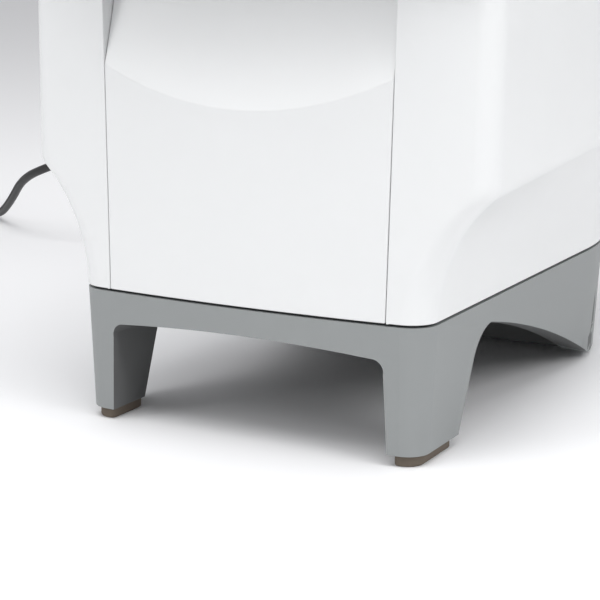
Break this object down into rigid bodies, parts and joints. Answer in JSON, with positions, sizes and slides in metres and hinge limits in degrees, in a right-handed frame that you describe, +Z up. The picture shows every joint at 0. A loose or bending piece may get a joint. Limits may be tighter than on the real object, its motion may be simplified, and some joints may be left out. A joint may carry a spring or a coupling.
{
  "type": "thermal cycler",
  "caption": "Bench thermal cycler: white moulded housing with a scooped front panel, flared sides, grey pedestal base, hinged heated lid with clamping lever, and mains lead.",
  "frame": {"origin": "on the bench, under the middle of the unit without its lead", "axes": "+X right seen from the front, +Y to the back, +Z up"},
  "size_m": [0.8035, 0.5706, 0.37],
  "materials": {
    "housing": "fine-grained, softly satin moulded white",
    "base_grey": "light grey moulded, satin",
    "foot_rubber": "matt brown-grey",
    "tray_steel": "black powder coat",
    "zinc_steel": "zinc plated, dull",
    "stainless": "brushed",
    "aluminium": "anodised, satin",
    "black_plastic": "black, fine grain",
    "lever_grey": "mid grey, satin",
    "liner_plastic": "dark grey, fine grain",
    "ceramic": "white ceramic faces",
    "silicone": "red-brown silicone",
    "board_green": "solder mask",
    "brass": "bare",
    "lead_black": "matt PVC",
    "spring_steel": "bright wire"
  },
  "bodies": {
    "base": {"base_frame": "base_grey", "front_feet": "foot_rubber", "rear_feet": "foot_rubber", "base_screws": "zinc_steel", "chassis_tray": "tray_steel", "chassis_brackets": "zinc_steel", "front_panel": "housing", "left_shell": "housing", "right_shell": "housing", "top_deck": "housing", "rear_panel": "liner_plastic", "rear_screws": "zinc_steel", "data_sockets": "stainless", "mains_inlet": "black_plastic", "inlet_blades": "brass", "switch_frame": "black_plastic", "fan_frame": "black_plastic", "fan_guard": "black_plastic", "air_duct": "zinc_steel", "heat_sink": "aluminium", "power_supply": "zinc_steel", "control_board": "board_green", "board_posts": "brass", "board_parts": "black_plastic", "peltier_elements": "ceramic", "sample_block": "aluminium", "block_frame": "black_plastic", "block_screws": "stainless", "block_seal": "silicone", "catch_posts": "black_plastic", "catch_bar": "stainless", "hinge_brackets": "zinc_steel", "hinge_screws": "stainless", "hinge_bushes": "brass", "hinge_springs": "spring_steel", "mains_connector": "lead_black", "strain_relief": "lead_black", "mains_lead": "lead_black", "lead_coil": "lead_black", "lead_tail": "lead_black", "lead_tie": "black_plastic", "mains_plug": "lead_black"},
    "fuse_drawer": {"fuse_drawer": "black_plastic"},
    "rocker": {"switch_rocker": "black_plastic"},
    "rotor": {"fan_rotor": "black_plastic"},
    "lid": {"lid_cover": "housing", "lid_frame": "zinc_steel", "lid_liner": "liner_plastic", "liner_screws": "stainless", "hinge_arms": "zinc_steel", "hinge_shaft": "stainless", "lever_pins": "stainless", "lever_brackets": "zinc_steel", "lid_insulation": "silicone"},
    "lever": {"lid_lever": "lever_grey"},
    "hooks": {"latch_hooks": "stainless"},
    "heated_plate": {"heated_plate": "aluminium", "heater_mat": "silicone", "plate_bolts": "stainless", "plate_springs": "spring_steel"}
  },
  "joints": [
    {"name": "lid_hinge", "type": "hinge", "parent": "base", "child": "lid", "pos_m": [0, 0.1878, 0.262], "axis": [-1, 0, 0], "range_deg": [0, 75]},
    {"name": "lever_press", "type": "hinge", "parent": "lid", "child": "lever", "pos_m": [0, -0.1702, 0.312], "axis": [1, 0, 0], "range_deg": [0, 20]},
    {"name": "hook_turn", "type": "hinge", "parent": "lid", "child": "hooks", "pos_m": [0, -0.1442, 0.277], "axis": [1, 0, 0], "range_deg": [0, 18]},
    {"name": "plate_press", "type": "slide", "parent": "lid", "child": "heated_plate", "axis": [0, 0, -1], "range_m": [0, 0.004], "deforming": ["plate_springs"]},
    {"name": "fan_spin", "type": "hinge", "parent": "base", "child": "rotor", "pos_m": [0, -0.0222, 0.084], "axis": [0, 0, 1], "continuous": true},
    {"name": "power_switch", "type": "hinge", "parent": "base", "child": "rocker", "pos_m": [-0.032, 0.1768, 0.198], "axis": [1, 0, 0], "range_deg": [0, 20]},
    {"name": "fuse_drawer_slide", "type": "slide", "parent": "base", "child": "fuse_drawer", "axis": [0, 1, 0], "range_m": [0, 0.012]}
  ],
  "couplings": [
    {"joint": "hook_turn", "follows": "lever_press", "ratio": 0.9},
    {"joint": "plate_press", "follows": "lever_press", "m_per_rad": 0.01146}
  ]
}
